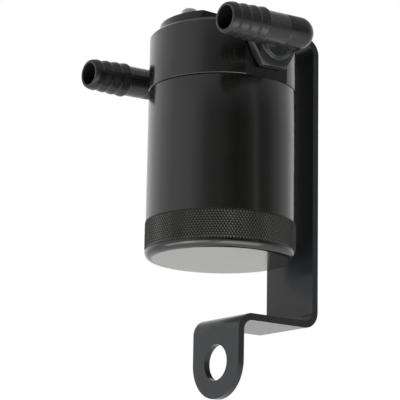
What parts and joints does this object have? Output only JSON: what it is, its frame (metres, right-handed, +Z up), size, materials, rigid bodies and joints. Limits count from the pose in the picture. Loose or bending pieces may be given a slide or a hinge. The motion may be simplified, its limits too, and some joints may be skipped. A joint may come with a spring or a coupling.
{
  "type": "oil catch can",
  "caption": "Small baffled oil catch can: a black turned cup screwed to a billet head with two barbed hose elbows, hung from a folded strap bracket.",
  "frame": {"origin": "centre of the bracket's fixing hole, on the front face of the tab", "axes": "+Z up along the can's axis, from the can towards its head; -Y out of the tab's front face, the way both hose ends point; +X to the inlet elbow's side"},
  "size_m": [0.1322, 0.0935, 0.1963],
  "materials": {
    "black_anodised": "satin black anodised turned aluminium",
    "seal_rubber": "smooth black nitrile rubber",
    "moulded_black": "fine-grained black glass-filled nylon",
    "strap_black": "semi-gloss black coating on folded steel",
    "bright_steel": "bright stainless steel",
    "plain_aluminium": "plain machined aluminium",
    "brass": "machined brass",
    "sintered_bronze": "coarse sintered bronze"
  },
  "bodies": {
    "mounted_head": {"head": "black_anodised", "inlet_elbow": "moulded_black", "outlet_elbow": "moulded_black", "bracket": "strap_black", "bracket_screw_front": "bright_steel", "bracket_screw_rear": "bright_steel", "bracket_washer_front": "bright_steel", "bracket_washer_rear": "bright_steel", "drop_tube": "plain_aluminium", "baffle_plate": "bright_steel", "baffle_spacer_front": "plain_aluminium", "baffle_spacer_rear": "plain_aluminium", "baffle_washer_front": "bright_steel", "baffle_washer_rear": "bright_steel", "baffle_screw_front": "bright_steel", "baffle_screw_rear": "bright_steel", "filter_nut": "brass", "filter_element": "sintered_bronze"},
    "seal_ring": {"can_seal": "seal_rubber"},
    "reservoir": {"can": "black_anodised"}
  },
  "joints": [
    {"name": "can_travel", "type": "slide", "parent": "mounted_head", "child": "seal_ring", "axis": [0, 0, -1], "range_m": [0, 0.0083]},
    {"name": "can_turn", "type": "hinge", "parent": "seal_ring", "child": "reservoir", "pos_m": [0, 0.0018, 0.1379], "axis": [0, 0, -1], "range_deg": [0, 1980]}
  ],
  "couplings": [
    {"joint": "can_travel", "follows": "can_turn", "m_per_rad": 0.00023873}
  ]
}
